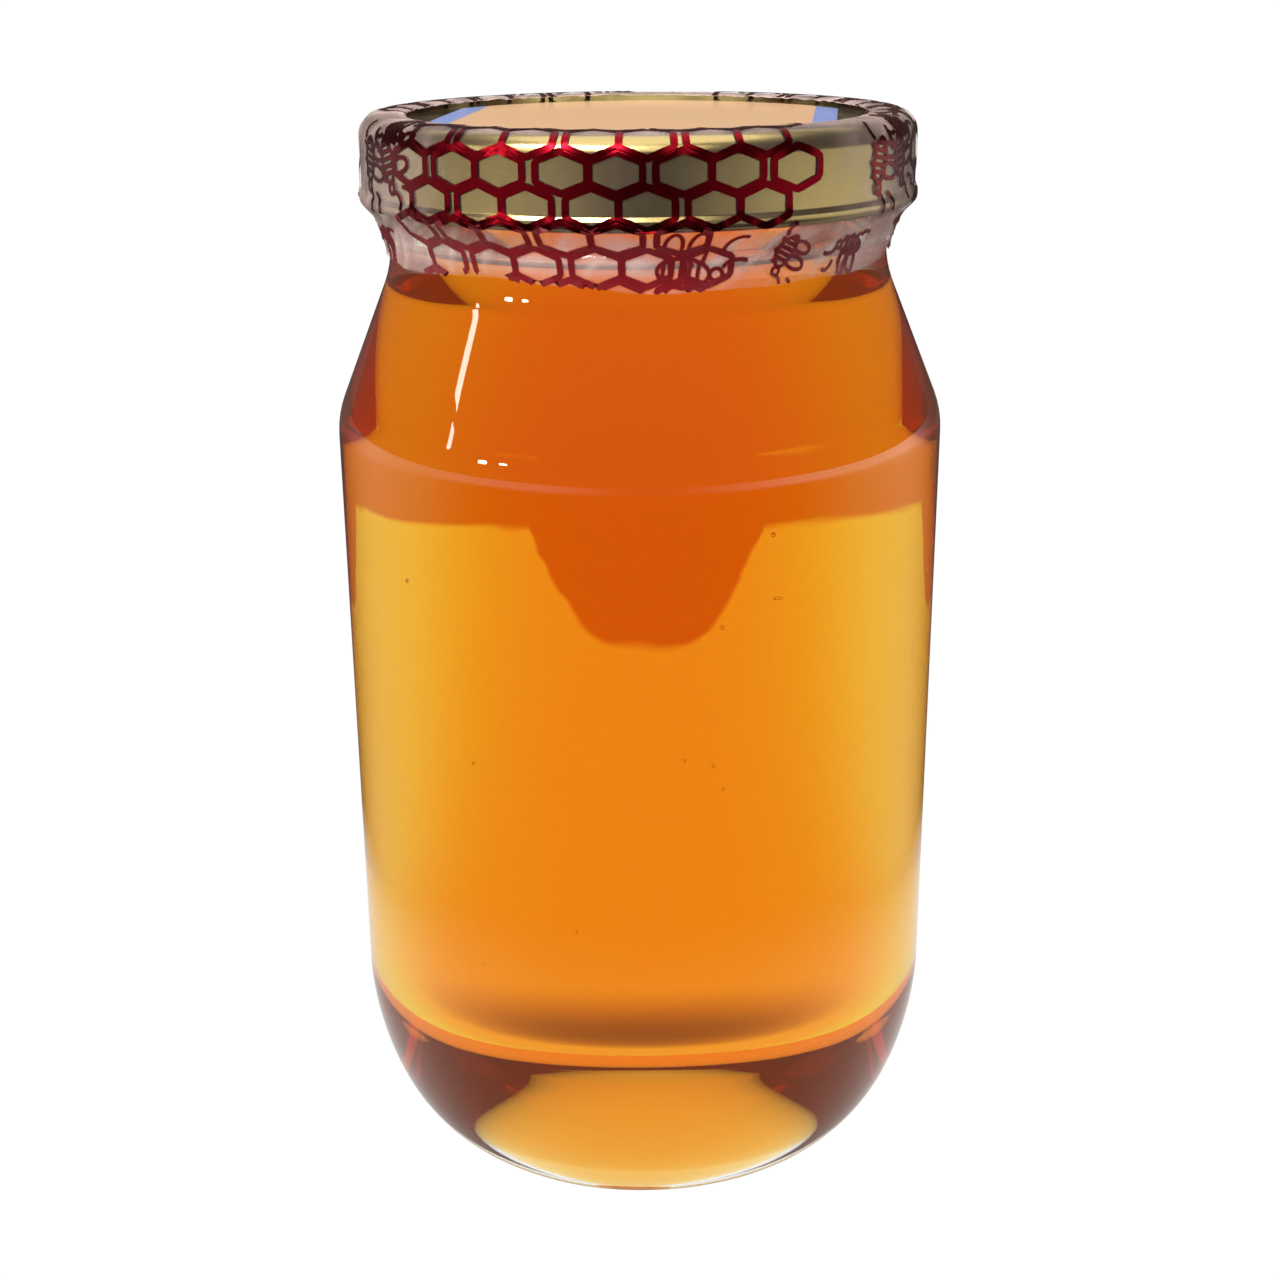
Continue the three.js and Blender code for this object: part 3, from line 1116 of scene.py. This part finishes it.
def stage_mesh(name, verts, faces, material):
    """A piece of the stage, which isn't part of the jar."""
    mesh = bpy.data.meshes.new(name)
    mesh.from_pydata(verts, [], faces)
    mesh.materials.append(material)
    piece = add_object(name, mesh)
    return piece


def make_floor():
    paper = glowing_material("White paper, lit from below", (1, 1, 1), 1.02)
    stage_mesh("Floor", disc(TABLE_REACH, 0), [tuple(range(DISC_STEPS))], paper)


# Sheet of painted shade behind the jar: its radius, its top, and the heights of its notched lower edge
PAINTED_SHADE_RADIUS = 48.7 * MM
PAINTED_SHADE_TOP = 172 * MM
PAINTED_SHADE_TIP = 78.2 * MM
PAINTED_SHADE_SIDE = 122 * MM
PAINTED_SHADE_LEVEL = 99.5 * MM


def disc(radius, height):
    turns = [math.tau * k / DISC_STEPS for k in range(DISC_STEPS)]
    return [(radius * math.cos(turn), radius * math.sin(turn), height) for turn in turns]


def card(name, kept, material, low, high=None):
    """A flat disc, or a wall between two rings, that only one kind of ray meets."""
    steps = len(low)
    if high:
        faces = [(k, (k + 1) % steps, (k + 1) % steps + steps, k + steps) for k in range(steps)]
    else:
        faces = [tuple(range(steps))]
    only_for(stage_mesh(name, low + (high or []), faces, material), kept)


def make_cards():
    """What the honey or the reflections alone show of the table and the room."""
    near_wall = disc(0.6, 0)
    near_wall_top = [(x, y, 0.24 if y > 0.42 else 1.2) for x, y, _ in near_wall]
    card("Refracted floor", "transmission", refracted_material(), disc(TABLE_REACH, 0.5 * MM))
    card("Refracted wall", "transmission",
         glowing_material("Room beyond the table", (1.3, 0.8, 0.5)), near_wall, near_wall_top)
    make_painted_shade()
    card("Reflected floor", "glossy", reflected_material(), disc(TABLE_REACH, MM))
    card("Reflected ceiling", "glossy",
         glowing_material("Overhead diffuser", (1, 0.98, 0.95), 2.8), disc(0.75, 1.5))
    card("Reflected wall", "glossy",
         glowing_material("Dim wall of the studio", (0.1, 0.09, 0.08)), disc(3.9, 0), disc(3.9, 3.1))
    card("Backdrop", "camera",
         glowing_material("White paper backdrop", (1, 1, 1), 1.02), disc(3.95, 0), disc(3.95, 6.0))


def make_painted_shade():
    """A curved amber sheet close behind the jar, seen only through the honey: painted shade."""
    spread = math.radians(66)
    steps = 60
    rings = []
    for height in (2 * MM, PAINTED_SHADE_TOP):
        angles = [-spread + 2 * spread * k / steps for k in range(steps + 1)]
        rings += [(PAINTED_SHADE_RADIUS * math.sin(a), PAINTED_SHADE_RADIUS * math.cos(a), height) for a in angles]
    faces = [(k, k + 1, k + steps + 2, k + steps + 1) for k in range(steps)]
    shade_filter = stage_mesh("Amber gel", rings, faces, painted_shade_material())
    only_for(shade_filter, "transmission")


def only_for(piece, kept):
    """Hides a piece of the stage from all rays but one kind."""
    for kind in ("camera", "diffuse", "glossy", "transmission", "shadow", "volume_scatter"):
        setattr(piece, "visible_" + kind, kind == kept)


def painted_shade_material():
    """Painted shade: an amber filter with a notch in its lower edge, which deepens the honey's upper
    part to a darker orange.
    """
    material, tree, shader, output = new_material("Amber gel, plain below its notched edge")
    tree.nodes.remove(shader)
    where = add_node(tree, "ShaderNodeTexCoord", out="Object")
    parts = add_node(tree, "ShaderNodeSeparateXYZ", (where,), None).outputs
    wave = add_node(tree, NOISE, {"Vector": where, "Scale": 1 / (7 * MM), "Detail": 2.0})
    uneven = add_node(tree, RANGE, (wave, 0.2, 0.8, -1.3 * MM, 1.3 * MM), **EASED)
    aside = add_node(tree, MATH, (parts[0], 0.5 * MM), operation="SUBTRACT")
    offset = add_node(tree, MATH, (aside,), operation="ABSOLUTE")
    notch = add_node(tree, RANGE, (offset, 2.4 * MM, 13.8 * MM, PAINTED_SHADE_TIP, PAINTED_SHADE_SIDE), **EASED)
    edge = add_node(tree, MATH, (notch, PAINTED_SHADE_LEVEL), operation="MINIMUM")
    above = add_node(tree, MATH, (parts[2], edge), operation="SUBTRACT")
    rough = add_node(tree, MATH, (above, uneven), operation="ADD")
    share = add_node(tree, RANGE, (rough, -0.7 * MM, 1.3 * MM, 0.0, 1.0), **EASED)
    # The painted shade: deeper, darker orange above the notched edge
    tint = add_node(tree, MIX, {0: share, 6: (1, 1, 1, 1), 7: (0.75, 0.34, 0.03, 1)}, 2,
                    data_type="RGBA")
    shade_filter = add_node(tree, "ShaderNodeBsdfTransparent", (tint,))
    tree.links.new(shade_filter, output.inputs["Surface"])
    return material


def refracted_material():
    """The table as the honey shows it: bright, brighter still off to the jar's sides as painted light,
    with a painted shadow of the jar close to its foot.
    """
    material, tree, shader, _ = new_material("Table as the honey shows it", UNLIT)
    where = add_node(tree, "ShaderNodeTexCoord", out="Object")
    moved = add_node(tree, VECTORS, (where, (3 * MM, 2 * MM, 0)), operation="SUBTRACT")
    away = add_node(tree, VECTORS, (moved,), "Value", operation="LENGTH")
    level = add_node(tree, RANGE, (away, *SHADOW_EDGE, 0.24, 1.34), **EASED)
    lit = add_node(tree, RANGE, (away, *SHADOW_EDGE, 0.0, 1.0), **EASED)
    # Painted light: off to the jar's sides the table glows brighter in green and blue, so the honey
    # there looks yellower
    parts = add_node(tree, "ShaderNodeSeparateXYZ", (where,), None).outputs
    side = add_node(tree, MATH, (parts[0], away), operation="DIVIDE")
    aside = add_node(tree, MATH, (side,), operation="ABSOLUTE")
    turned = add_node(tree, RANGE, (aside, 0.1, 0.5, 0.0, 1.0), **EASED)
    yellow = add_node(tree, MIX, {0: turned, 6: (1, 1.01, 0.94, 1), 7: (0.96, 1.5, 1.3, 1)}, 2,
                      data_type="RGBA")
    tint = add_node(tree, MIX, {0: lit, 6: (1, 0.7, 0.8, 1), 7: yellow}, 2, data_type="RGBA")
    tree.links.new(tint, shader.inputs["Emission Color"])
    tree.links.new(level, shader.inputs["Emission Strength"])
    return material


def reflected_material():
    """What reflections show of the table: dark in front near the jar, paler to its sides."""
    material, tree, shader, _ = new_material("Table as the reflections see it", {
        **UNLIT, "Emission Color": (1, 0.98, 0.94, 1)})
    where = add_node(tree, "ShaderNodeTexCoord", out="Object")
    parts = add_node(tree, "ShaderNodeSeparateXYZ", (where,), None).outputs
    away = add_node(tree, VECTORS, (where,), "Value", operation="LENGTH")
    back = add_node(tree, MATH, (parts[1], away), operation="DIVIDE")
    side = add_node(tree, MATH, (parts[0], away), operation="DIVIDE")
    # Near the jar: dark in front, paler at its sides, dim behind it
    rising = add_node(tree, RANGE, (back, -0.6, 0.2, 0.02, 0.42), **EASED)
    falling = add_node(tree, RANGE, (back, 0.3, 0.8, 1.0, 0.15), **EASED)
    near = add_node(tree, MATH, (rising, falling), operation="MULTIPLY")
    spread = add_node(tree, RANGE, (away, 0.45, 0.8, 1.0, 2.0), **EASED)
    nearby = add_node(tree, MATH, (near, spread), operation="MULTIPLY")
    # Farther out: a dark strip in line with the camera and a bright patch on the right
    shifted = add_node(tree, MATH, (side, 0.06), operation="SUBTRACT")
    offset = add_node(tree, MATH, (shifted,), operation="ABSOLUTE")
    strip = add_node(tree, RANGE, (offset, 0.1, 0.75, 0.12, 1.0), **EASED)
    right = add_node(tree, RANGE, (side, 0.6, 1.0, 0.0, 0.7), **EASED)
    beyond = add_node(tree, MATH, (strip, right), operation="ADD")
    far = add_node(tree, MATH, (beyond, falling), operation="MULTIPLY")
    share = add_node(tree, RANGE, (away, 0.7, 1.0, 0.0, 1.0), **EASED)
    table = add_node(tree, MIX, {0: share, 2: nearby, 3: far}, data_type="FLOAT")
    # A pale ring round the foot, weaker in front
    ring = add_node(tree, RANGE, (away, 0.1, 0.16, 0.8, 0.0), **EASED)
    behind = add_node(tree, RANGE, (back, -1.0, 0.0, 0.35, 1.0), **EASED)
    foot = add_node(tree, MATH, (ring, behind), operation="MULTIPLY")
    level = add_node(tree, MATH, (table, foot), operation="MAXIMUM")
    tree.links.new(level, shader.inputs["Emission Strength"])
    return material


def area_light(name, place, aim, size, power, colour=(1, 1, 1)):
    """A rectangular light that looks at a point."""
    data = bpy.data.lights.new(name, "AREA")
    data.shape = "RECTANGLE"
    data.size, data.size_y = size
    data.energy = power
    data.color = colour
    lamp = add_object(name, data)
    lamp.location = place
    lamp.rotation_euler = (Vector(aim) - Vector(place)).to_track_quat("-Z", "Y").to_euler()
    return lamp


def make_world():
    """Bright overhead and behind the jar, dim in front of it below a third of the way up."""
    world = bpy.data.worlds.new("Studio")
    world.use_nodes = True
    tree = world.node_tree
    background = tree.nodes["Background"]
    background.inputs["Color"].default_value = (1, 0.99, 0.97, 1)
    way = add_node(tree, "ShaderNodeTexCoord", out="Generated")
    parts = add_node(tree, "ShaderNodeSeparateXYZ", (way,), None).outputs
    overhead = add_node(tree, RANGE, (parts[2], 0.7, 0.95), **EASED)
    behind = add_node(tree, RANGE, (parts[1], 0.3, 0.8), **EASED)
    most = add_node(tree, MATH, (overhead, behind), operation="MAXIMUM")
    power = add_node(tree, RANGE, (most, 0.0, 1.0, 0.12, 1.25))
    tree.links.new(power, background.inputs["Strength"])
    bpy.context.scene.world = world


def make_lights():
    make_world()
    # A broken streak: three panes, one over the other and a little askew
    panes = (((-0.85, -0.185, 0.52), (0.024, 0.045)), ((-0.84, -0.2, 0.455), (0.045, 0.06)),
             ((-0.835, -0.222, 0.395), (0.028, 0.035)))
    for place, size in panes:
        power = PANE_WATTS * size[0] * size[1]
        area_light("Left pane", place, (0, 0, 0.14), size, power, CREAM)
    area_light("Left lamp", (-0.85, -0.52, 0.36), (0, 0, 0.13), (0.06, 0.05), 0.7, CREAM)
    area_light("Left lamp, small", (-0.78, -0.64, 0.38), (0, 0, 0.13), (0.05, 0.03), 0.35, CREAM)
    area_light("Key softbox", (-0.45, -0.75, 1.0), (0, 0, 0.17), (0.8, 0.25), 26)


def light_cap():
    """A window low on the left that only the cap and its band catch, as in the photo."""
    lit = bpy.data.collections.new("Caught by the window")
    for name in ("Gold_cap", "Print_on_cap"):
        lit.objects.link(bpy.data.objects[name])
    panes = (((-2.2, -1.5, 1.4), (2.6, 0.7), 8), ((-0.4, -1.9, 1.9), (3.4, 1.5), 38))
    for place, size, power in panes:
        window = area_light("Window", place, (0, 0, 0.17), size, power, (1, 0.97, 0.92))
        window.light_linking.receiver_collection = lit


def make_camera():
    """Camera at the photo's angle, worked out from its outline for a square picture."""
    distance = 305.5 * MM
    height = 194.0 * MM
    pitch = math.radians(19.58)
    roll = math.radians(0.4475)
    focal_share = 1930 / 1280
    data = bpy.data.cameras.new("Camera")
    data.sensor_fit = "HORIZONTAL"
    data.sensor_width = 36
    data.lens = 36 * focal_share
    data.clip_start = 0.01
    camera = add_object("Camera", data)
    level = Euler((math.pi / 2 - pitch, 0, math.radians(0.04))).to_matrix().to_4x4()
    camera.matrix_world = Matrix.Translation((0, -distance, height)) @ level @ Matrix.Rotation(
        -roll, 4, "Z")
    bpy.context.scene.camera = camera


def set_look(scene):
    scene.view_settings.view_transform = "Standard"
    scene.view_settings.look = "None"
    scene.cycles.use_denoising = True
    scene.cycles.max_bounces = 32
    scene.cycles.transmission_bounces = 32
    scene.cycles.transparent_max_bounces = 24
    scene.cycles.glossy_bounces = 4
    scene.cycles.diffuse_bounces = 2
    scene.cycles.caustics_reflective = False
    scene.cycles.sample_clamp_indirect = 8.0


class JAR_PT_panel(bpy.types.Panel):
    """Lists the jar's pieces, sizes and colours"""

    bl_idname = "JAR_PT_panel"
    bl_label = "Honey Jar"
    bl_space_type = "VIEW_3D"
    bl_region_type = "UI"
    bl_category = "Honey Jar"

    def draw(self, context):
        layout = self.layout
        for operator in OPERATORS:
            layout.operator(operator.bl_idname)
        for group in (context.scene.jar_sizes, context.scene.jar_colours):
            for name in group.__annotations__:
                layout.prop(group, name)


OPERATORS = (JAR_OT_glass, JAR_OT_honey, JAR_OT_cap, JAR_OT_label, JAR_OT_band, JAR_OT_stage)
CLASSES = (JarSizes, JarColours, *OPERATORS, JAR_PT_panel)


def register():
    for kind in CLASSES:
        bpy.utils.register_class(kind)
    bpy.types.Scene.jar_sizes = PointerProperty(type=JarSizes)
    bpy.types.Scene.jar_colours = PointerProperty(type=JarColours)


def unregister():
    del bpy.types.Scene.jar_colours
    del bpy.types.Scene.jar_sizes
    for kind in reversed(CLASSES):
        bpy.utils.unregister_class(kind)


def main():
    register()
    bpy.ops.honey_jar.glass()
    bpy.ops.honey_jar.honey()
    bpy.ops.honey_jar.cap()
    bpy.ops.honey_jar.label()
    bpy.ops.honey_jar.band()
    bpy.ops.honey_jar.stage()


if __name__ == "__main__":
    main()
